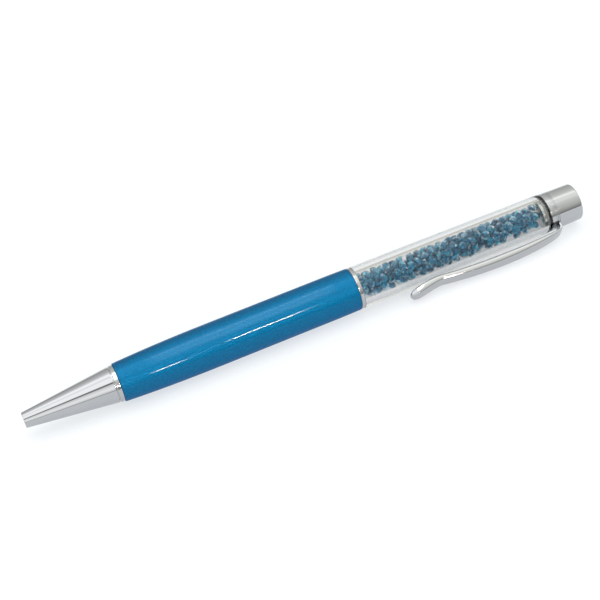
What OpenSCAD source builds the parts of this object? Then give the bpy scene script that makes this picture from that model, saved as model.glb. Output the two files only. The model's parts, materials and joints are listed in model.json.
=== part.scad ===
// Twist-action ballpoint pen with a crystal-filled upper barrel.
// It lies along +X: x is 0 at the mouth of the nose and grows towards the cap, and the pen's axis is the X axis.
// A turned piece is drawn as [radius, x] points and revolved. The clip hangs at clip_angle from straight down.

/* [Body] */
// Whole length, from the mouth of the nose to the end of the cap
pen_length = 140; // [138:0.5:144]
// Radius of the straight stretch of the lower barrel
barrel_r = 5.17; // [5.16:0.01:5.4]
// Length of the nose cone that shows
nose_length = 22.5; // [22:0.1:22.5]
// Where the lower barrel ends and the centre ring begins
barrel_end = 80.95; // [80.9:0.05:81.5]
// Radius of the clear tube beside the centre ring
tube_r_low = 5.07; // [5:0.01:5.12]
// Radius of the clear tube beside the clip collar
tube_r_high = 4.78; // [4.75:0.01:4.95]
// Radius of the chamber that holds the crystals
chamber_r = 3.3; // [3.2:0.05:3.3]

/* [Clip] */
// Direction of the clip, in degrees from straight down
clip_angle = 66; // [66:1:90]
// Width of the clip where it leaves the collar
clip_w_root = 3.9; // [3:0.1:3.9]
// Width of the clip near its tip
clip_w_tip = 3.4; // [2.6:0.1:3.4]

/* [Mechanism] */
// How far the refill moves forward in one twist
travel = 4.5; // [4:0.1:4.5]
// Twist of the upper half, in degrees, that moves the refill all the way
twist = 180; // [170:5:180]
// Radius of the writing ball
ball_r = 0.4; // [0.35:0.05:0.4]

/* [Crystals] */
// Largest radius of one cut crystal
crystal_r = 1.02; // [0.8:0.02:1.02]

/* [Hidden] */
$fn = 96;

slip = 0.05;            // radial clearance of a turning or sliding fit
glue = 0.03;            // gap left for glue or plating between pieces that are fixed together
eps = 0.01;             // overlap of a cutter with the face it starts from

// Nose cone
nose_mouth_r = 1.28;    // hole that the refill's point comes out of
nose_tip_r = 1.84;      // outside radius at the mouth
nose_cone_r = 4.27;     // outside radius at the cone's wide end
nose_lip_r = 4.35;      // narrow lip beside the barrel
nose_lip_w = 1.0;
spigot_r = 3.3;         // threaded spigot behind the lip
spigot_length = 7;
spigot_bore_r = 2.6;

// Lower barrel
barrel_front_r = 4.56;  // outside radius beside the nose
barrel_straight = 46;   // x where the swelling front becomes straight
barrel_back_r = 5.1;    // outside radius beside the centre ring
barrel_taper = 5;       // length of the slight taper towards the centre ring
swell_power = 2.2;      // shape of the swelling front
barrel_bore_r = 4.55;
insert_r = 3.95;        // outside radius of the front insert
insert_front = nose_length + 0.6;
insert_back = nose_length + 8.1;

// Twist mechanism
pin_r = 0.5;
pin_x = 66;             // x of the drive pins with the point drawn in
pin_tip_r = 3.32;
carrier_r = 2.0;
rotor_bore_r = carrier_r + slip;
rotor_r = 2.75;
rotor_front = 56.2;
housing_bore_r = rotor_r + slip;
housing_r = 3.4;
housing_front = 57.5;
housing_back = 72.3;
collar_r = 3.75;        // threaded collar of the housing
collar_front = 67.2;
flange_r = 4.3;
flange_front = 71.5;
slot_half = pin_r + 0.06;   // half the width of a helical slot
slot_steps = 30;        // cuts that make one helical slot

// Upper half
adapter_r = 4.4;
adapter_front = 72.35;
adapter_floor = 74.6;
neck_r = 3.95;          // lower neck of the clear tube, glued into the adapter
stem_r = 1.9;           // stem of the rotor in the adapter
ring_gap = 0.08;        // hairline gap that lets the centre ring turn against the barrel
ring_width = 0.9;
tube_front = barrel_end + ring_gap + ring_width + 0.02;
tube_back = 131.6;
upper_neck_r = 4.05;
upper_neck_back = 132.3;
plug_front = 130;
collar_top_r = 4.69;
collar_back = 132.69;
seal_x = 131.15;
seal_minor_r = 0.42;
clip_ring_front = 132.72;
clip_ring_back = 133.57;
cap_front = 133.6;
cap_r = 4.64;
cap_end_r = 4.53;
cap_round = 0.45;
stud_r = 1.5;
stud_back = 137.5;
tongue_x = 133.2;       // tongue of the clip's washer, inside the arm's root
tongue_t = 0.3;
tongue_w = 1.8;
tongue_top = 5.45;

// Refill, a short metal one of the 67 mm kind
point_x = 1.5;          // front of the writing ball with the point drawn in
refill_back = point_x + 67;
refill_r = 1.175;
refill_bore_r = 0.98;
tip_back = 8.5;
tip_r = 1.13;

// A revolved piece from [radius, x] points
module turned(points) rotate([0, 90, 0]) rotate_extrude() polygon(points);

// A ring of round section around the pen's axis
module round_ring(x, major_r, minor_r)
    translate([x, 0, 0]) rotate([0, 90, 0]) rotate_extrude() translate([major_r, 0]) circle(minor_r, $fn = 48);

// A rod or a hole along the pen's axis
module bar(x0, x1, r) translate([x0, 0, 0]) rotate([0, 90, 0]) cylinder(h = x1 - x0, r = r);

// Places children at x = 0 in the plane of the clip, whose outward direction is +Z there
module at_clip() rotate([180 - clip_angle, 0, 0]) children();

// Outline of shallow thread ridges along x, from low x to high x
function ridges(x0, x1, r, pitch = 0.7, depth = 0.18) = [
    for (i = [0 : floor((x1 - x0) / pitch) - 1]) for (k = [0, 1]) [r - k * depth, x0 + (i + (1 + k) / 2) * pitch]
];

// Outside radius of the lower barrel's swelling front
function swell(x) = barrel_r - (barrel_r - barrel_front_r)
    * pow((barrel_straight - x) / (barrel_straight - nose_length), swell_power);

// Point of a cubic Bezier curve
function bezier(p, t) = pow(1 - t, 3) * p[0] + 3 * pow(1 - t, 2) * t * p[1] + 3 * (1 - t) * t * t * p[2]
    + pow(t, 3) * p[3];

// Points along a chain of Bezier curves, each given by four points
function chain(curves, n = 8) = [for (c = curves) for (i = [0 : n - 1]) bezier(c, i / n)];

module nose_cone() color("gainsboro") {
    lip_front = nose_length - nose_lip_w;
    back = nose_length + spigot_length;
    turned(concat(
        [[nose_mouth_r, 0.15], [nose_mouth_r + 0.15, 0], [nose_tip_r - 0.3, 0],
         [nose_tip_r - 0.08, 0.1], [nose_tip_r + 0.03, 0.4], [nose_cone_r, lip_front - 0.12],
         [nose_cone_r - 0.02, lip_front], [nose_lip_r - 0.06, lip_front], [nose_lip_r, lip_front + 0.1],
         [nose_lip_r, nose_length - 0.1], [nose_lip_r - 0.08, nose_length], [spigot_r, nose_length]],
        ridges(nose_length + 0.8, back - 0.4, spigot_r),
        [[spigot_r, back - 0.4], [spigot_r - 0.3, back], [spigot_bore_r, back],
         [spigot_bore_r, 13], [1.75, 5.5], [nose_mouth_r, 3]]));
}

module lower_barrel() color("steelblue") {
    front = nose_length + glue;
    swelling = [for (i = [0 : 12]) let (x = front + 0.12 + (barrel_straight - front - 0.12) * i / 12) [swell(x), x]];
    turned(concat(
        [[insert_r + glue, front], [barrel_front_r - 0.12, front]],
        swelling,
        [[barrel_r, barrel_end - barrel_taper], [barrel_back_r, barrel_end - 0.1],
         [barrel_back_r - 0.1, barrel_end], [barrel_bore_r, barrel_end],
         [barrel_bore_r, 37], [insert_r + glue, insert_back + 0.7]]));
}

module front_insert() color("goldenrod")
    turned([[spigot_r + glue, insert_front], [insert_r, insert_front], [insert_r, insert_back],
            [spigot_r + glue, insert_back]]);

module rear_insert() color("goldenrod")
    turned([[collar_r + glue, 65.5], [barrel_bore_r - glue, 65.5], [barrel_bore_r - glue, flange_front - glue],
            [collar_r + glue, flange_front - glue]]);

// Cutter for one helical slot: the path of a drive pin while the upper half twists
module helix_cutter() for (i = [0 : slot_steps])
    rotate([twist * i / slot_steps, 0, 0])
        translate([pin_x - travel * i / slot_steps, 0, -housing_r - eps])
            cylinder(h = housing_r - housing_bore_r + 0.4, r = slot_half, $fn = 32);

module mechanism_housing() color("goldenrod") difference() {
    turned(concat(
        [[housing_bore_r, housing_front], [housing_r - 0.2, housing_front], [housing_r, housing_front + 0.2],
         [housing_r, collar_front], [collar_r, collar_front + 0.2]],
        ridges(collar_front + 0.2, flange_front - 0.3, collar_r),
        [[collar_r, flange_front - 0.3], [collar_r, flange_front], [flange_r, flange_front],
         [flange_r, housing_back], [housing_bore_r, housing_back]]));
    for (a = [0, 180]) rotate([a, 0, 0]) helix_cutter();
}

module twist_rotor() color("whitesmoke") difference() {
    turned([[rotor_bore_r, rotor_front], [rotor_r - 0.15, rotor_front], [rotor_r, rotor_front + 0.15],
            [rotor_r, 56.75], [2.4, 56.75], [2.4, 57.3], [rotor_r, 57.3], [rotor_r, 68.4], [2.3, 68.4],
            [2.3, 69], [rotor_r, 69], [rotor_r, adapter_front], [stem_r, adapter_front],
            [stem_r, adapter_floor - 0.05], [0, adapter_floor - 0.05], [0, 70], [rotor_bore_r, 70]]);
    for (a = [0, 180]) rotate([a, 0, 0]) {
        translate([pin_x - travel, -pin_r - glue, -rotor_r - eps]) cube([travel, 2 * (pin_r + glue), 1.5]);
        for (x = [pin_x - travel, pin_x])
            translate([x, 0, -rotor_r - eps]) cylinder(h = 1.5, r = pin_r + glue, $fn = 32);
    }
}

module retaining_ring() color("silver")
    rotate([0, 90, 0]) rotate([0, 0, 30]) rotate_extrude(angle = 300)
        translate([2.43, 56.8]) square([0.77, 0.45]);

module friction_ring() color("dimgray") round_ring(68.7, 2.54, 0.22);

module upper_adapter() color("goldenrod")
    turned([[stem_r + glue, adapter_front], [adapter_r - 0.15, adapter_front], [adapter_r, adapter_front + 0.15],
            [adapter_r, barrel_end + 0.05], [neck_r + glue, barrel_end + 0.05], [neck_r + glue, adapter_floor],
            [stem_r + glue, adapter_floor]]);

module centre_ring() color("gainsboro") {
    front = barrel_end + ring_gap;
    back = front + ring_width;
    turned([[neck_r + glue, front], [tube_r_low - 0.12, front], [tube_r_low, front + 0.15],
            [tube_r_low, back - 0.15], [tube_r_low - 0.12, back], [neck_r + glue, back]]);
}

module clear_tube() color("azure", 0.35)
    turned([[chamber_r, adapter_floor + 0.05], [neck_r, adapter_floor + 0.05], [neck_r, tube_front],
            [tube_r_low - 0.1, tube_front], [tube_r_low, tube_front + 0.1], [tube_r_high, tube_back - 0.1],
            [tube_r_high - 0.1, tube_back], [upper_neck_r, tube_back], [upper_neck_r, upper_neck_back],
            [chamber_r, upper_neck_back]]);

// One cut crystal: a six-sided bead that fits in a ball of crystal_r
module crystal() {
    across = 0.8 * crystal_r;
    cylinder(h = 2 * sqrt(pow(crystal_r, 2) - pow(across, 2)), r = across, center = true, $fn = 6);
}

// Layers of seven crystals, each layer turned a little from the one before
module crystals() color("teal") {
    front = adapter_floor + 0.15;
    layers = floor((plug_front - 0.1 - front) / (2 * crystal_r + 0.02));
    pitch = (plug_front - 0.1 - front) / layers;
    ring = chamber_r - crystal_r - 0.03;
    for (i = [0 : layers - 1]) for (k = [0 : 6])
        translate([front + (i + 0.5) * pitch, 0, 0]) rotate([60 * k + 27 * i, 0, 0])
            translate([0, k < 6 ? ring : 0, 0]) rotate([73 * k + 41 * i, 57 * k + 31 * i, 19 * i]) crystal();
}

module end_plug() color("silver")
    turned(concat(
        [[0, plug_front], [chamber_r - glue - 0.2, plug_front], [chamber_r - glue, plug_front + 0.2],
         [chamber_r - glue, seal_x - 0.45], [2.4, seal_x - 0.45], [2.4, seal_x + 0.45],
         [chamber_r - glue, seal_x + 0.45], [chamber_r - glue, upper_neck_back], [stud_r, upper_neck_back]],
        ridges(cap_front + 0.2, stud_back - 0.3, stud_r),
        [[stud_r, stud_back - 0.3], [stud_r - 0.3, stud_back], [0, stud_back]]));

module end_seal() color("black") round_ring(seal_x, 2.85, seal_minor_r);

module clip_collar() color("gainsboro") {
    front = tube_back + glue;
    web = upper_neck_back + 0.05;
    turned([[upper_neck_r + glue, front], [collar_top_r - 0.1, front], [collar_top_r, front + 0.1],
            [collar_top_r, collar_back - 0.05], [collar_top_r - 0.05, collar_back], [stud_r + 0.05, collar_back],
            [stud_r + 0.05, web], [upper_neck_r + glue, web]]);
}

// Washer under the cap, with the tongue that carries the clip's arm
module clip_ring() color("gainsboro") union() {
    turned([[stud_r + 0.05, clip_ring_front], [cap_r - 0.05, clip_ring_front], [cap_r, clip_ring_front + 0.05],
            [cap_r, clip_ring_back - 0.05], [cap_r - 0.05, clip_ring_back], [stud_r + 0.05, clip_ring_back]]);
    at_clip() translate([tongue_x - tongue_t / 2, -tongue_w / 2, 4]) cube([tongue_t, tongue_w, tongue_top - 4]);
}

// Side outline of the arm, as [x, distance from the pen's axis], from the root to the tip and back
clip_outside = [
    [[133.62, 4.72], [133.66, 5.9], [133.3, 6.5], [131.2, 7]],
    [[131.2, 7], [124, 8.85], [112, 8.85], [101.2, 7.2]],
    [[101.2, 7.2], [100.2, 7.04], [98.4, 7.45], [95.4, 8.05]],
    [[95.4, 8.05], [94.2, 8.29], [92.5, 8.3], [92.4, 7.2]],
];
clip_inside = [
    [[92.4, 7.2], [92.45, 6.5], [93.8, 6.25], [95.2, 5.9]],
    [[95.2, 5.9], [97.6, 5.32], [99.6, 5.24], [101.8, 5.46]],
    [[101.8, 5.46], [110, 6.5], [124, 6.6], [131.5, 6.1]],
    [[131.5, 6.1], [132.7, 5.95], [132.8, 5.5], [132.78, 4.72]],
];
// Outline of the arm seen from outside, as [x, half width]
clip_edge = [
    [[134, clip_w_root / 2], [120, clip_w_root / 2], [112, clip_w_tip / 2], [98, clip_w_tip / 2 + 0.05]],
    [[98, clip_w_tip / 2 + 0.05], [94, clip_w_tip / 2 + 0.05], [92.36, 1.5], [92.36, 0]],
];

module clip_arm() color("gainsboro") {
    half = chain(clip_edge);
    at_clip() difference() {
        intersection() {
            translate([0, 3, 0]) rotate([90, 0, 0]) linear_extrude(height = 6)
                polygon(concat(chain(clip_outside), chain(clip_inside), [[132.78, 4.72]]));
            linear_extrude(height = 12)
                polygon(concat(half, [[92.36, 0]], [for (i = [len(half) - 1 : -1 : 0]) [half[i][0], -half[i][1]]]));
        }
        translate([tongue_x - tongue_t / 2 - slip, -tongue_w / 2 - slip, 4])
            cube([tongue_t + 2 * slip, tongue_w + 2 * slip, tongue_top + 0.15 - 4]);
    }
}

module top_cap() color("gainsboro") {
    corner = [for (i = [0 : 6]) let (a = 15 * i)
        [cap_end_r - cap_round * (1 - cos(a)), pen_length - cap_round * (1 - sin(a))]];
    turned(concat(
        [[stud_r + glue, cap_front], [cap_r - 0.05, cap_front], [cap_r, cap_front + 0.05]],
        corner,
        [[0, pen_length], [0, stud_back + 0.3], [stud_r + glue, stud_back + 0.3]]));
}

module refill_carrier() color("white") difference() {
    back = 69.3;
    turned([[refill_r + 0.02, 56.8], [carrier_r - 0.2, 56.8], [carrier_r, 57], [carrier_r, back - 0.2],
            [carrier_r - 0.2, back], [0, back], [0, refill_back + 0.1], [refill_r + 0.02, refill_back + 0.1]]);
    for (a = [0, 180]) rotate([a, 0, 0]) translate([pin_x, 0, -carrier_r - eps])
        cylinder(h = carrier_r - refill_r, r = pin_r + 0.02, $fn = 32);
    translate([56.8 - eps, -carrier_r - eps, -0.2]) cube([6, 2 * carrier_r + 2 * eps, 0.4]);
}

module drive_pins() color("silver")
    for (a = [0, 180]) rotate([a, 0, 0]) translate([pin_x, 0, -pin_tip_r])
        cylinder(h = pin_tip_r - refill_r - 0.1, r = pin_r, $fn = 32);

module refill_tube() color("silver")
    turned([[refill_bore_r, tip_back + 0.02], [refill_r, tip_back + 0.02], [refill_r, refill_back],
            [refill_bore_r, refill_back]]);

module refill_tip() color("gold") {
    ball_x = point_x + ball_r;
    difference() {
        turned([[0, 1.66], [ball_r + 0.04, 1.66], [0.62, 2.9], [0.7, 3.1], [tip_r, 6.2], [tip_r, tip_back],
                [refill_bore_r - 0.02, tip_back], [refill_bore_r - 0.02, 11.5], [0, 11.5]]);
        translate([ball_x, 0, 0]) sphere(r = ball_r + 0.02);
        bar(ball_x, 11.6, 0.2);
    }
}

module point_ball() color("gray") translate([point_x + ball_r, 0, 0]) sphere(r = ball_r);

module ink() color("navy") bar(11.6, 52, refill_bore_r - 0.03);

nose_cone();
lower_barrel();
front_insert();
rear_insert();
mechanism_housing();
twist_rotor();
retaining_ring();
friction_ring();
upper_adapter();
centre_ring();
clear_tube();
crystals();
end_plug();
end_seal();
clip_collar();
clip_ring();
clip_arm();
top_cap();
refill_carrier();
drive_pins();
refill_tube();
refill_tip();
point_ball();
ink();
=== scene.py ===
import json
import math

import bpy
import numpy as np
from mathutils import Matrix, Vector


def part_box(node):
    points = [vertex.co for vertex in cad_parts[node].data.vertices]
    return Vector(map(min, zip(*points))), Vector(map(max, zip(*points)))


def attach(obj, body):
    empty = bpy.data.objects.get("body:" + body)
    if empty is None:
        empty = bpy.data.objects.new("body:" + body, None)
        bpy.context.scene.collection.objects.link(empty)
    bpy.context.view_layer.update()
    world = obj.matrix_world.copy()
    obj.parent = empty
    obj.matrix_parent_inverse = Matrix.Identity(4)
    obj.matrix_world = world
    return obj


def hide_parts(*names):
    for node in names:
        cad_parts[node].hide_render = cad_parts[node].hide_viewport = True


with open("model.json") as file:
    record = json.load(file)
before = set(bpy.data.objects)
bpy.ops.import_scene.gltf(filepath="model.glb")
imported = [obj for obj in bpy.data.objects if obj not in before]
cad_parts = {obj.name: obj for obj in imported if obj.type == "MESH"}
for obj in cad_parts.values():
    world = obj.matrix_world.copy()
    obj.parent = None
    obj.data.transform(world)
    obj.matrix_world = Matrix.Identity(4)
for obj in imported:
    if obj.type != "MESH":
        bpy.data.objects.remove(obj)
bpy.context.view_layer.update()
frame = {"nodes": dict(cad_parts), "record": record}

# The pen lies along +X with its nose at x = 0 and its axis on the X axis, and it rests on the floor.
# Outlines are drawn in millimetres as (x, radius) or (x, radius, corner radius) and turned about the axis.
MM = 0.001
ROUND = 160             # sides of a turned piece
BODY_OF = {node: body for body, nodes in frame["record"]["behaviour"]["bodies"].items() for node in nodes}
SLOT_OF = {part["node"]: part["material_slot"] for part in frame["record"]["subparts"]}

CLIP_DOWN = 66          # the clip's direction, in degrees from straight down
CHAMBER_R = 3.3         # bore that holds the crystals


def span(node):
    """Lowest and highest x of a CAD node and its largest radius, in millimetres."""
    low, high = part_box(node)
    return low.x / MM, high.x / MM, high.z / MM


TUBE_LOW = span("centre_ring")[1] + 0.02        # ends of the clear tube's full-width stretch
TUBE_HIGH = span("clip_collar")[0] - 0.03
CHAMBER_X = (span("clear_tube")[0] + 0.05, span("end_plug")[0] - 0.03)


# ---------------------------------------------------------------- materials

def adder(tree):
    """A function that adds a shader node with its settings and its inputs, by name or as i0, i1 ..."""
    def add(kind, settings=None, **inputs):
        node = tree.nodes.new("ShaderNode" + kind)
        for key, value in (settings or {}).items():
            setattr(node, key, value)
        for key, value in inputs.items():
            socket = node.inputs[int(key[1:])] if key[0] == "i" and key[1:].isdigit() else node.inputs[key]
            if isinstance(value, bpy.types.NodeSocket):
                tree.links.new(value, socket)
            else:
                socket.default_value = value
        return node
    return add


def new_material(name):
    """An empty node material, its shader, and functions that add a node, link two and set the shader."""
    material = bpy.data.materials.new(name)
    material.use_nodes = True
    tree = material.node_tree
    shader = tree.nodes["Principled BSDF"]

    def link(a, b):
        tree.links.new(a, b)

    def put(**values):
        for key, value in values.items():
            shader.inputs[key.replace("_", " ")].default_value = value

    return material, shader, adder(tree), link, put


def object_place(add, scale=(1, 1, 1)):
    """Coordinates that stay with the piece, in metres times scale."""
    place = add("TexCoord")
    return add("Mapping", None, i0=place.outputs["Object"], i3=scale).outputs[0]


def ramp(add, source, stops):
    """A colour ramp through (position, colour) stops."""
    node = add("ValToRGB", None, i0=source)
    elements = node.color_ramp.elements
    while len(elements) < len(stops):
        elements.new(0.5)
    for element, (position, colour) in zip(elements, stops):
        element.position = position
        element.color = (*colour, 1)
    return node.outputs[0]


def polished_metal(name, colour, roughness=0.05, wear=0.03, tone=0.03):
    """Plated or polished metal: faint hairlines, a little haze and tiny changes of tone."""
    material, shader, add, link, put = new_material(name)
    put(Metallic=1.0)
    put(IOR=1.8)
    streaks = add("TexNoise", None, Vector=object_place(add, (180, 2600, 2600)), Scale=1.0, Detail=6.0)
    clouds = add("TexNoise", None, Vector=object_place(add, (120, 240, 240)), Scale=1.0, Detail=3.0)
    haze = add("MapRange", None, i0=streaks.outputs[0], i1=0.35, i2=0.75, i3=roughness, i4=roughness + wear)
    link(haze.outputs[0], shader.inputs["Roughness"])
    dark = tuple(c * (1 - tone) for c in colour)
    link(ramp(add, clouds.outputs[0], [(0.3, dark), (0.7, colour)]), shader.inputs["Base Color"])
    bump = add("Bump", None, Strength=0.02, Distance=0.00002, Height=streaks.outputs[0])
    link(bump.outputs[0], shader.inputs["Normal"])
    return material


def turned_metal(name, colour, roughness=0.28):
    """Machined metal: fine rings around the axis from the turning tool."""
    material, shader, add, link, put = new_material(name)
    put(Metallic=1.0)
    rings = add("TexNoise", None, Vector=object_place(add, (9000, 300, 300)), Scale=1.0, Detail=4.0)
    clouds = add("TexNoise", None, Vector=object_place(add, (300, 300, 300)), Scale=1.0, Detail=3.0)
    haze = add("MapRange", None, i0=rings.outputs[0], i1=0.3, i2=0.7, i3=roughness * 0.8, i4=roughness * 1.3)
    link(haze.outputs[0], shader.inputs["Roughness"])
    dark = tuple(c * 0.82 for c in colour)
    link(ramp(add, clouds.outputs[0], [(0.35, dark), (0.7, colour)]), shader.inputs["Base Color"])
    bump = add("Bump", None, Strength=0.15, Distance=0.00001, Height=rings.outputs[0])
    link(bump.outputs[0], shader.inputs["Normal"])
    return material


def moulded(name, colour, roughness=0.4, grain=1500, metal=0.0):
    """Moulded plastic or rubber with a fine surface grain."""
    material, shader, add, link, put = new_material(name)
    put(Metallic=metal)
    grains = add("TexNoise", None, Vector=object_place(add, (grain, grain, grain)), Scale=1.0, Detail=5.0)
    haze = add("MapRange", None, i0=grains.outputs[0], i1=0.3, i2=0.7, i3=roughness * 0.85,
               i4=roughness * 1.15)
    link(haze.outputs[0], shader.inputs["Roughness"])
    dark = tuple(c * 0.88 for c in colour)
    link(ramp(add, grains.outputs[0], [(0.3, dark), (0.7, colour)]), shader.inputs["Base Color"])
    bump = add("Bump", None, Strength=0.1, Distance=0.00002, Height=grains.outputs[0])
    link(bump.outputs[0], shader.inputs["Normal"])
    return material


def flake_lacquer(name):
    """Metallic teal-blue lacquer: aluminium flakes of about 0.07 mm under a smooth clear coat."""
    material, shader, add, link, put = new_material(name)
    put(Metallic=1.0)
    put(Coat_Weight=0.29, Coat_Roughness=0.012, Coat_IOR=1.5)
    put(Specular_Tint=(0.10, 0.40, 0.62, 1))
    flakes = add("TexVoronoi", {"feature": "F1"}, Vector=object_place(add, (14000, 14000, 14000)), Scale=1.0)
    clouds = add("TexNoise", None, Vector=object_place(add, (2200, 2200, 2200)), Scale=1.0, Detail=4.0)
    sparkle = add("SeparateColor", None, i0=flakes.outputs["Color"])
    tone = add("Mix", {"data_type": "FLOAT"}, i0=0.5, i2=clouds.outputs[0], i3=sparkle.outputs[0])
    stops = [(0.2, (0.0, 0.094, 0.212)), (0.5, (0.0, 0.136, 0.300)), (0.8, (0.0, 0.193, 0.400))]
    link(ramp(add, tone.outputs[0], stops), shader.inputs["Base Color"])
    haze = add("MapRange", None, i0=sparkle.outputs[1], i1=0.0, i2=1.0, i3=0.48, i4=0.60)
    link(haze.outputs[0], shader.inputs["Roughness"])
    bump = add("Bump", None, Strength=0.12, Distance=0.00003, Height=sparkle.outputs[2])
    link(bump.outputs[0], shader.inputs["Normal"])
    return material


def clear_plastic(name):
    """Polished clear acrylic with a hint of waviness from polishing."""
    material, shader, add, link, put = new_material(name)
    put(Roughness=0.0, IOR=1.37)
    put(Transmission_Weight=1.0)
    put(Base_Color=(0.785, 0.79, 0.785, 1))
    waves = add("TexNoise", None, Vector=object_place(add, (60, 260, 260)), Scale=1.0, Detail=2.0)
    bump = add("Bump", None, Strength=0.02, Distance=0.0001, Height=waves.outputs[0])
    link(bump.outputs[0], shader.inputs["Normal"])
    return material


def cut_crystal(name):
    """Tinted cut glass with its own depth of colour per facet and painted glints on a few, kept in
    facet_tone.
    """
    material, shader, add, link, put = new_material(name)
    put(Roughness=0.03, IOR=1.38)
    put(Transmission_Weight=0.4)
    tone = add("Attribute", {"attribute_name": "facet_tone"})
    flashes = add("TexVoronoi", {"feature": "F1"}, Vector=object_place(add, (2100, 2100, 2100)), Scale=1.0)
    flash = add("SeparateColor", None, i0=flashes.outputs["Color"])
    inner = add("MapRange", None, i0=flash.outputs[0], i3=-0.16, i4=0.16)
    shown = add("Math", {"operation": "ADD"}, i0=tone.outputs["Fac"], i1=inner.outputs[0])
    # The top of this ramp, bright cyan to near white, is painted glint colour for the few facets set above
    # 0.8
    stops = [(0.0, (0.001, 0.056, 0.125)), (0.35, (0.004, 0.200, 0.390)), (0.6, (0.012, 0.375, 0.660)),
             (0.85, (0.06, 0.68, 0.93)), (0.97, (0.16, 0.80, 1.0)), (1.0, (0.85, 0.96, 1.0))]
    link(ramp(add, shown.outputs[0], stops), shader.inputs["Base Color"])
    return material


MATERIALS = {
    "chrome": polished_metal("chrome", (0.45, 0.46, 0.475)),
    "blue_lacquer": flake_lacquer("blue_lacquer"),
    "clear_acrylic": clear_plastic("clear_acrylic"),
    "crystal_teal": cut_crystal("crystal_teal"),
    "brass": turned_metal("brass", (0.80, 0.58, 0.27)),
    "satin_metal": polished_metal("satin_metal", (0.62, 0.62, 0.60), 0.22, 0.12),
    "spring_steel": turned_metal("spring_steel", (0.58, 0.58, 0.60), 0.22),
    "refill_metal": polished_metal("refill_metal", (0.72, 0.71, 0.68), 0.18, 0.1),
    "carbide": polished_metal("carbide", (0.42, 0.42, 0.44), 0.1, 0.05),
    "seal_rubber": moulded("seal_rubber", (0.45, 0.46, 0.48), 0.4),
    "black_plastic": moulded("black_plastic", (0.03, 0.03, 0.034), 0.35),
    "white_plastic": moulded("white_plastic", (0.78, 0.78, 0.75), 0.4),
    "ink_blue": moulded("ink_blue", (0.01, 0.02, 0.16), 0.2, 400),
}


# ---------------------------------------------------------------- meshes

def new_piece(name, vertices, faces, node, smooth_angle=35):
    """Makes a mesh object that stands for a CAD node, rides on its body and takes its finish."""
    mesh = bpy.data.meshes.new(name)
    mesh.from_pydata([tuple(v) for v in vertices], [], faces)
    mesh.validate()
    mesh.update()
    mesh.shade_smooth()
    mesh.set_sharp_from_angle(angle=math.radians(smooth_angle))
    piece = bpy.data.objects.new(name, mesh)
    bpy.context.scene.collection.objects.link(piece)
    mesh.materials.append(MATERIALS[SLOT_OF[node]])
    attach(piece, BODY_OF[node])
    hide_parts(node)
    return piece


def rounded(points, steps=5):
    """Replaces each corner that gives a radius by a curve that starts and ends that far from it."""
    out = []
    count = len(points)
    for i, point in enumerate(points):
        here = Vector(point[:2])
        if len(point) == 2:
            out.append(here)
            continue
        before = Vector(points[i - 1][:2]) - here
        after = Vector(points[(i + 1) % count][:2]) - here
        start = here + before.normalized() * min(point[2], before.length * 0.49)
        end = here + after.normalized() * min(point[2], after.length * 0.49)
        for k in range(steps + 1):
            t = k / steps
            out.append(start * (1 - t) ** 2 + here * 2 * t * (1 - t) + end * t ** 2)
    # A short step at both ends of each long stretch keeps the stretch's own shading straight
    short, long = 0.05, 0.4
    firm = []
    for a, b in zip(out, out[1:] + out[:1]):
        firm.append(a)
        step = (b - a).normalized() * short
        if (b - a).length > long:
            firm += [a + step, b - step]
    return firm


def lathe(name, points, node, smooth_angle=35):
    """Turns a closed outline of (x, radius) points about the pen's axis."""
    outline = rounded(points)
    vertices, rings = [], []
    for x, r in outline:
        if r < 1e-6:            # a point on the axis is one vertex
            rings.append([len(vertices)] * ROUND)
            vertices.append((x * MM, 0, 0))
            continue
        first = len(vertices)
        for k in range(ROUND):
            a = 2 * math.pi * k / ROUND
            vertices.append((x * MM, r * math.cos(a) * MM, r * math.sin(a) * MM))
        rings.append(list(range(first, first + ROUND)))
    faces = []
    for one, two in zip(rings, rings[1:] + rings[:1]):
        for k in range(ROUND):
            n = (k + 1) % ROUND
            face = [one[k], one[n], two[n], two[k]]
            face = [v for i, v in enumerate(face) if v != face[i - 1]]
            if len(face) > 2:
                faces.append(face)
    return new_piece(name, vertices, faces, node, smooth_angle)


def bezier(p, t):
    """Point of a cubic Bezier curve."""
    return (p[0] * (1 - t) ** 3 + p[1] * 3 * t * (1 - t) ** 2 + p[2] * 3 * t * t * (1 - t) + p[3] * t ** 3)


def nose_cone():
    """Chrome cone: a small rounded mouth, a straight taper, a fine groove and a narrow lip at the barrel."""
    _, back, _ = span("nose_cone")
    lip = span("lower_barrel")[0] - 0.03
    points = [
        (0.32, 1.28), (0, 1.30, 0.14), (0, 1.84, 0.22), (0.42, 1.88, 0.1), (lip - 1.3, 4.26, 0.08),
        (lip - 1.22, 4.16, 0.05), (lip - 1.04, 4.16, 0.05), (lip - 1.0, 4.35, 0.1), (lip - 0.02, 4.35, 0.1),
        (lip, 4.1), (lip, 3.3)]
    for i in range(8):
        points += [(lip + 0.9 + 0.7 * i, 3.3), (lip + 1.25 + 0.7 * i, 3.12)]
    points += [(back, 3.15, 0.2), (back, 2.6), (13, 2.6), (5.5, 1.75), (3, 1.28)]
    lathe("nose_shell", points, "nose_cone")


def lower_barrel():
    """Lacquered tube that swells behind the nose and runs straight to the centre ring."""
    front, back, widest = span("lower_barrel")
    widest -= 0.006             # keeps it inside the CAD barrel's many-sided outline
    straight, slim, swell, steps = 46, 4.56, 2.2, 40
    points = [(front, 3.98), (front, slim - 0.1), (front + 0.02, slim - 0.04)]
    for i in range(steps + 1):
        x = front + 0.1 + (straight - front - 0.1) * i / steps
        points.append((x, widest - (widest - slim) * ((straight - x) / (straight - front)) ** swell))
    points += [(back - 5, widest), (back - 2.5, widest - 0.03), (back - 0.1, 5.1), (back - 0.03, 5.08),
               (back, 5.0), (back, 4.55), (37, 4.55), (31.1, 3.98)]
    lathe("lacquered_barrel", points, "lower_barrel")


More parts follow.
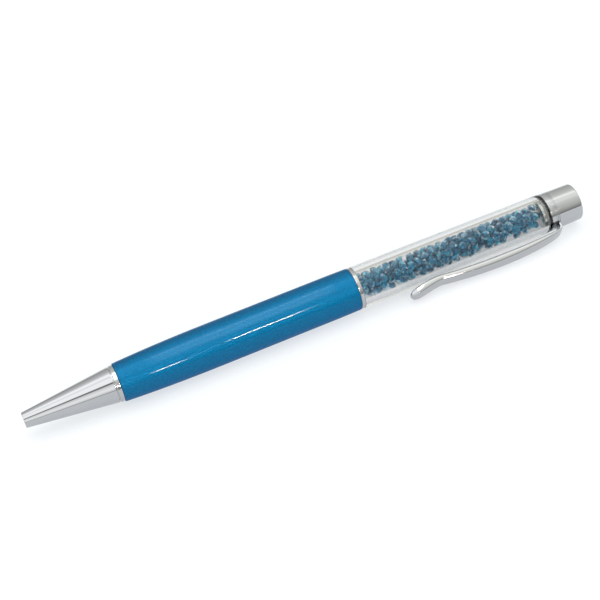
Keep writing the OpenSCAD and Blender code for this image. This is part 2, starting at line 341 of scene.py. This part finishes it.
def centre_ring():
    """Narrow bright ring with rounded edges."""
    front, back, widest = span("centre_ring")
    points = [(front, 3.98), (front, widest, 0.12), (back, widest, 0.12), (back, 3.98)]
    lathe("bright_ring", points, "centre_ring")


def clear_tube():
    """Thick clear tube with a straight bore, a neck at each end and softly broken edges."""
    front, back, _ = span("clear_tube")
    points = [(front, CHAMBER_R, 0.06), (front, 3.95, 0.1), (TUBE_LOW, 3.95), (TUBE_LOW, 5.07, 0.12),
              (TUBE_HIGH, 4.78, 0.3), (TUBE_HIGH, 4.05), (back, 4.05, 0.1), (back, CHAMBER_R, 0.06)]
    lathe("clear_barrel", points, "clear_tube", 30)


def end_plug():
    """Plug that closes the crystal chamber, with its seal groove and threaded stud."""
    front, back, _ = span("end_plug")
    r = CHAMBER_R - 0.03
    points = [(front, 0), (front, r, 0.25), (130.7, r), (130.7, 2.4), (131.6, 2.4), (131.6, r),
              (132.3, r, 0.1), (132.3, 1.5)]
    for i in range(5):
        points += [(133.8 + 0.7 * i, 1.5), (134.15 + 0.7 * i, 1.32)]
    points += [(back, 1.35, 0.15), (back, 0)]
    lathe("chamber_plug", points, "end_plug")


def clip_collar():
    """Narrow chrome collar beside the clear tube."""
    front, back, widest = span("clip_collar")
    points = [(front, 4.08), (front, widest, 0.12), (back, widest, 0.08), (back, 1.6), (back - 0.34, 1.6),
              (back - 0.34, 4.08)]
    lathe("bright_collar", points, "clip_collar")


def clip_ring():
    """Washer between the collar and the cap, with a fine groove around it."""
    front, back, _ = span("clip_ring")
    r, middle = 4.64, (front + back) / 2
    points = [(front, 1.55), (front, r, 0.09), (middle - 0.14, r, 0.04), (middle - 0.07, r - 0.14, 0.03),
              (middle + 0.07, r - 0.14, 0.03), (middle + 0.14, r, 0.04), (back, r, 0.09), (back, 1.55)]
    lathe("bright_washer", points, "clip_ring")


def top_cap():
    """Chrome cap with a flat end and a rounded edge."""
    front, back, widest = span("top_cap")
    points = [(front, 1.53), (front, widest, 0.07), (back, widest - 0.11, 0.5), (back, 0), (137.8, 0),
              (137.8, 1.53)]
    lathe("bright_cap", points, "top_cap")


# The clip's side outline, as Bezier curves of (x, distance from the pen's axis) from the root to the tip.
CLIP_OUTSIDE = (
    ((133.62, 4.72), (133.66, 5.9), (133.3, 6.5), (131.2, 7.0)),
    ((131.2, 7.0), (124, 8.85), (112, 8.85), (101.2, 7.2)),
    ((101.2, 7.2), (100.2, 7.04), (98.4, 7.45), (95.4, 8.05)),
    ((95.4, 8.05), (94.2, 8.29), (92.5, 8.3), (92.4, 7.2)),
)
CLIP_INSIDE = (
    ((132.78, 4.72), (132.8, 5.5), (132.7, 5.95), (131.5, 6.1)),
    ((131.5, 6.1), (124, 6.6), (110, 6.5), (101.8, 5.46)),
    ((101.8, 5.46), (99.6, 5.24), (97.6, 5.32), (95.2, 5.9)),
    ((95.2, 5.9), (93.8, 6.25), (92.45, 6.5), (92.4, 7.2)),
)
# Half its width at each x
CLIP_WIDTH = ((92.38, 0.0), (92.45, 0.55), (92.7, 1.0), (93.2, 1.4), (94.2, 1.68), (96, 1.75), (106, 1.72),
              (112, 1.78), (118, 1.9), (124, 1.95), (135, 1.95))

# Its cross-section is a squared ellipse. These powers shape the crown, the flat inside and the edges.
# A power of 1 is round.
CROWN_POWER, BELLY_POWER, EDGE_POWER = 0.85, 0.5, 0.6


def clip_arm():
    """Sprung chrome arm: crowned outside, nearly flat inside, arched at its root and flared at its tip."""
    along, around = 26, 40
    outward = Vector((0, -math.sin(math.radians(CLIP_DOWN)), -math.cos(math.radians(CLIP_DOWN))))
    across = Vector((1, 0, 0)).cross(outward)
    xs, widths = zip(*CLIP_WIDTH)
    vertices, rings = [], []
    for curve in range(4):
        last = along if curve < 3 else along + 1
        for i in range(last):
            t = i / along
            outer = bezier([Vector(p) for p in CLIP_OUTSIDE[curve]], t)
            inner = bezier([Vector(p) for p in CLIP_INSIDE[curve]], t)
            middle, half = (outer + inner) / 2, (outer - inner) / 2
            wide = float(np.interp(middle.x, xs, widths))
            ring = []
            for k in range(around):
                a = 2 * math.pi * k / around
                power = CROWN_POWER if math.sin(a) > 0 else BELLY_POWER
                y = math.copysign(abs(math.cos(a)) ** EDGE_POWER, math.cos(a)) * wide
                z = math.copysign(abs(math.sin(a)) ** power, math.sin(a))
                p = middle + half * z
                ring.append(len(vertices))
                vertices.append((Vector((p.x, 0, 0)) + outward * p.y + across * y) * MM)
            rings.append(ring)
    faces = [list(reversed(rings[0])), rings[-1]]
    for one, two in zip(rings, rings[1:]):
        for k in range(around):
            n = (k + 1) % around
            faces.append([one[k], one[n], two[n], two[k]])
    new_piece("clip_blade", vertices, faces, "clip_arm", 50)


# ---------------------------------------------------------------- crystals

STONE_R = 1.12          # radius of a stone's girdle
PACK_R = 1.0            # radius of the ball that stands for a stone while the fill settles


def stone_shape():
    """Corners and faces of one round stone: table, crown, girdle, pavilion and a small flat culet."""
    rings = ((0.56, 0.44, 0.5), (1.0, 0.07, 0.0), (1.0, -0.07, 0.0), (0.62, -0.50, 0.5), (0.2, -0.80, 0.0))
    sides = 8
    points, faces = [], []
    for r, z, turn in rings:
        for k in range(sides):
            a = 2 * math.pi * (k + turn) / sides
            points.append((r * math.cos(a), r * math.sin(a), z))
    for i in range(len(rings) - 1):
        same = rings[i][2] == rings[i + 1][2]
        for k in range(sides):
            a, b = i * sides + k, i * sides + (k + 1) % sides
            c, d = a + sides, b + sides
            if same:
                faces.append([a, b, d, c])
            elif rings[i][2] > rings[i + 1][2]:
                faces += [[a, b, d], [a, d, c]]
            else:
                faces += [[a, b, c], [b, d, c]]
    faces.append(list(range(sides - 1, -1, -1)))
    faces.append(list(range((len(rings) - 1) * sides, len(rings) * sides)))
    return np.array(points), faces


def settle(count, rng):
    """Places balls in the chamber, in millimetres, by pushing apart those that overlap, to one side."""
    low, high = CHAMBER_X[0] + PACK_R, CHAMBER_X[1] - PACK_R
    room = CHAMBER_R - PACK_R - 0.02
    steps, gathered, pull, ease = 700, 520, (0.003, 0.003), 0.38
    place = np.column_stack([rng.uniform(low, high, count), rng.uniform(-room, room, count) * 0.7,
                             rng.uniform(-room, room, count) * 0.7])
    for step in range(steps):
        if step < gathered:
            place[:, 1:] += pull
        gap = place[:, None, :] - place[None, :, :]
        away = np.sqrt((gap ** 2).sum(2)) + np.eye(count) * 9
        push = np.clip(2 * PACK_R - away, 0, None) / away
        place += (gap * push[:, :, None]).sum(1) * ease
        place[:, 0] = np.clip(place[:, 0], low, high)
        out = np.hypot(place[:, 1], place[:, 2])
        place[:, 1:] *= np.minimum(1, room / np.maximum(out, 1e-9))[:, None]
    return place


def random_turn(rng):
    """A rotation matrix picked evenly from all turns."""
    q = rng.normal(size=4)
    w, x, y, z = q / np.linalg.norm(q)
    return np.array([[1 - 2 * (y * y + z * z), 2 * (x * y - z * w), 2 * (x * z + y * w)],
                     [2 * (x * y + z * w), 1 - 2 * (x * x + z * z), 2 * (y * z - x * w)],
                     [2 * (x * z - y * w), 2 * (y * z + x * w), 1 - 2 * (x * x + y * y)]])


def crystals():
    """The loose fill: stones that lie against each other in the bore, each turned at random."""
    count, tries, reach, touch = 244, 24, 2.4, 0.35
    rng = np.random.default_rng(11)
    place = settle(count, rng)
    corners, stone_faces = stone_shape()
    corners = corners * STONE_R
    placed = []
    vertices, faces, tones_and_glints = [], [], []
    order = np.argsort(place[:, 2])
    for i in order:
        near = [p for p, c in placed if np.linalg.norm(c - place[i]) < reach]
        near = np.concatenate(near) if near else np.zeros((0, 3))
        best, cost = None, 1e9
        for _ in range(tries):
            points = corners @ random_turn(rng).T + place[i]
            out = np.clip(np.hypot(points[:, 1], points[:, 2]) - (CHAMBER_R - 0.03), 0, None).sum()
            ends = np.clip(CHAMBER_X[0] - points[:, 0], 0, None)
            ends = ends + np.clip(points[:, 0] - CHAMBER_X[1], 0, None)
            close = 0.0
            if len(near):
                gaps = np.sqrt(((points[:, None, :] - near[None, :, :]) ** 2).sum(2))
                close = np.clip(touch - gaps.min(1), 0, None).sum()
            total = 6 * out + 6 * ends.sum() + close
            if total < cost:
                best, cost = points, total
        while np.hypot(best[:, 1], best[:, 2]).max() > CHAMBER_R - 0.02 and np.ptp(best[:, 0]) > 1.0:
            best = place[i] + 0.98 * (best - place[i])
        best[:, 0] = np.clip(best[:, 0], CHAMBER_X[0], CHAMBER_X[1])
        placed.append((best, place[i]))
        first = len(vertices)
        vertices.extend(best * MM)
        faces.extend([[first + v for v in face] for face in stone_faces])
        # Most facets get a random depth of colour; one in a hundred is painted near white and about seven in
        # a hundred bright cyan, as painted glints
        facets = np.clip(rng.normal(rng.normal(0.45, 0.09), 0.17, len(stone_faces)), 0, 0.8)
        glint_draw = rng.random(len(stone_faces))
        tones_and_glints.extend(np.where(glint_draw < 0.01, 1.3, np.where(glint_draw < 0.08, 0.85, facets)).tolist())
    piece = new_piece("crystal_fill", vertices, faces, "crystals", 1)
    piece.data.shade_flat()
    tone = piece.data.attributes.new("facet_tone", "FLOAT", "FACE")
    tone.data.foreach_set("value", tones_and_glints[:len(piece.data.polygons)])


for make in (nose_cone, lower_barrel, centre_ring, clear_tube, end_plug, clip_collar, clip_ring, top_cap,
             clip_arm, crystals):
    make()

for node_name, node_object in frame["nodes"].items():
    if not node_object.hide_render:
        node_object.data.materials.clear()
        node_object.data.materials.append(MATERIALS[SLOT_OF[node_name]])


# ---------------------------------------------------------------- floor, light and camera

def floor():
    """White light table that the pen lies on. Its glow leaves only a faint shadow beside the pen."""
    size = 3.0
    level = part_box("lower_barrel")[0].z
    mesh = bpy.data.meshes.new("floor")
    corners = [(-size, -size, level), (size, -size, level), (size, size, level), (-size, size, level)]
    mesh.from_pydata(corners, [], [(0, 1, 2, 3)])
    plane = bpy.data.objects.new("floor", mesh)
    bpy.context.scene.collection.objects.link(plane)
    material, shader, add, link, put = new_material("light_table")
    put(Roughness=1.0, Emission_Color=(0.92, 0.96, 1.0, 1), Emission_Strength=0.65)
    grain = add("TexNoise", None, Vector=object_place(add, (900, 900, 900)), Scale=1.0, Detail=3.0)
    link(ramp(add, grain.outputs[0], [(0.3, (0.296, 0.298, 0.301)), (0.7, (0.304, 0.306, 0.309))]),
         shader.inputs["Base Color"])
    shader.inputs["Specular IOR Level"].default_value = 0.0
    mesh.materials.append(material)


# Brightness of the studio as (angle, level). The angle is about the X axis: 0 is the +Y horizon, 90 straight
# up and 180 the -Y horizon. One list is for the studio's nose end and one for the rest.
STUDIO_NOSE = ((0, 0.42), (10, 0.45), (24, 0.72), (42, 0.86), (54, 1.15), (62, 1.5), (69, 1.95), (78, 1.8),
               (85, 1.45), (92, 1.6), (98, 1.85), (106, 1.75), (114, 1.8), (120.5, 1.7), (124, 0.35),
               (127.5, 0.2), (131, 0.45), (136, 1.15), (150, 1.5), (158, 1.6), (167, 1.4), (174, 1.0),
               (178, 0.6), (180, 0.5))
STUDIO_REST = ((0, 0.5), (10, 0.64), (30, 0.80), (50, 0.95), (64, 1.1), (74, 1.5), (79, 1.95), (84, 1.65),
               (91, 1.45), (98, 1.4), (104, 1.45), (110, 1.3), (118, 1.15), (128, 1.05), (139, 0.93),
               (150, 0.84), (162, 0.66), (171, 0.48), (177, 0.32), (180, 0.25))


def studio():
    """World light: soft walls and ceiling, a wide panel and two strips above the lacquered barrel, and a
    long narrow lamp beside it."""
    world = bpy.data.worlds.new("studio")
    bpy.context.scene.world = world
    world.use_nodes = True
    tree = world.node_tree
    background = tree.nodes["Background"]
    add = adder(tree)

    def maths(operation, a, b=0.0):
        return add("Math", {"operation": operation}, i0=a, i1=b).outputs[0]

    direction = add("SeparateXYZ", None, i0=add("TexCoord").outputs["Generated"])
    x, y, z = direction.outputs
    turn = maths("DIVIDE", maths("ARCTAN2", z, y), math.pi)
    grey = 0.5                  # the ramps hold half the brightness, so that none of it is cut off at 1
    overall = 1.05

    def walls_of(stops, blue):
        """Walls and ceiling from an (angle, level) list, with the share of blue in their light."""
        tint = [(a / 180, (v * grey, v * grey, v * grey * blue)) for a, v in stops]
        return ramp(add, turn, tint)

    side = add("MapRange", {"interpolation_type": "SMOOTHSTEP"}, i0=x, i1=-0.10, i2=0.04)
    walls = add("Mix", {"data_type": "RGBA"}, i0=side.outputs[0], i6=walls_of(STUDIO_NOSE, 0.99),
                i7=walls_of(STUDIO_REST, 0.94))

    def strip(angle, half, strength, lengths):
        """A soft-edged strip of light along x, its half width given in degrees, and as bright along x as the
        (x, level) list says."""
        away = maths("ABSOLUTE", maths("SUBTRACT", turn, angle))
        narrow = add("MapRange", {"interpolation_type": "SMOOTHSTEP"}, i0=away, i1=half / 180, i2=half / 450)
        along = ramp(add, x, [(position, (level, level, level)) for position, level in lengths])
        return maths("MULTIPLY", maths("MULTIPLY", narrow.outputs[0], along), strength)

    # The long lamp beside the pen, brighter along two lengths, the one nearer the nose a little lower
    low = add("MapRange", None, i0=x, i1=0.09, i2=0.14, i3=157 / 180, i4=147.3 / 180).outputs[0]
    lamp = strip(low, 1.3, 140.0, (
        (0.0, 0.0), (0.016, 0.0), (0.026, 0.62), (0.072, 0.62), (0.090, 0.02), (0.145, 0.02), (0.157, 1.0),
        (0.192, 1.0), (0.205, 0.06), (0.216, 0.0)))
    lengths = ((0.02, 0.0), (0.05, 1.0), (0.215, 1.0), (0.24, 0.0))
    above = strip(93 / 180, 32, 1.05, lengths)
    for angle, half, strength in ((79 / 180, 1.5, 2.6), (104 / 180, 1.3, 1.6)):
        above = maths("ADD", above, strip(angle, half, strength, lengths))
    # The lamp is a little warm and the panels above are a little cool
    levels = [maths("ADD", maths("MULTIPLY", lamp, warm), maths("MULTIPLY", above, cool))
              for warm, cool in ((1.0, 0.86), (0.8, 1.0), (0.72, 1.03))]
    glow = add("CombineColor", None, i0=levels[0], i1=levels[1], i2=levels[2])
    total = add("Mix", {"data_type": "RGBA", "blend_type": "ADD"}, i0=1.0, i6=walls.outputs[2],
                i7=glow.outputs[0])
    tree.links.new(total.outputs[2], background.inputs["Color"])
    background.inputs["Strength"].default_value = overall / grey


def camera():
    """Looks down from the near side, across from the nose, rolled so that the pen runs up to the right."""
    distance, elevation, roll = 0.330, math.radians(41), math.radians(21.63)
    toward = Vector((0, -math.cos(elevation), math.sin(elevation)))
    above = Vector((0, math.sin(elevation), math.cos(elevation)))
    eye = toward * distance
    target = Vector((0.0683, 0, 0)) + above * 0.00223
    forward = (target - eye).normalized()
    right = (Vector((1, 0, 0)) - forward * forward.x).normalized()
    up = right.cross(forward)
    turned_right = right * math.cos(roll) - up * math.sin(roll)
    turned_up = right * math.sin(roll) + up * math.cos(roll)
    data = bpy.data.cameras.new("camera")
    data.sensor_width = 36
    data.lens = 87.36
    data.clip_start = 0.01
    holder = bpy.data.objects.new("camera", data)
    bpy.context.scene.collection.objects.link(holder)
    matrix = Matrix((turned_right, turned_up, -forward)).transposed().to_4x4()
    matrix.translation = eye
    holder.matrix_world = matrix
    bpy.context.scene.camera = holder


floor()
studio()
camera()
bpy.context.scene.view_settings.view_transform = "Standard"
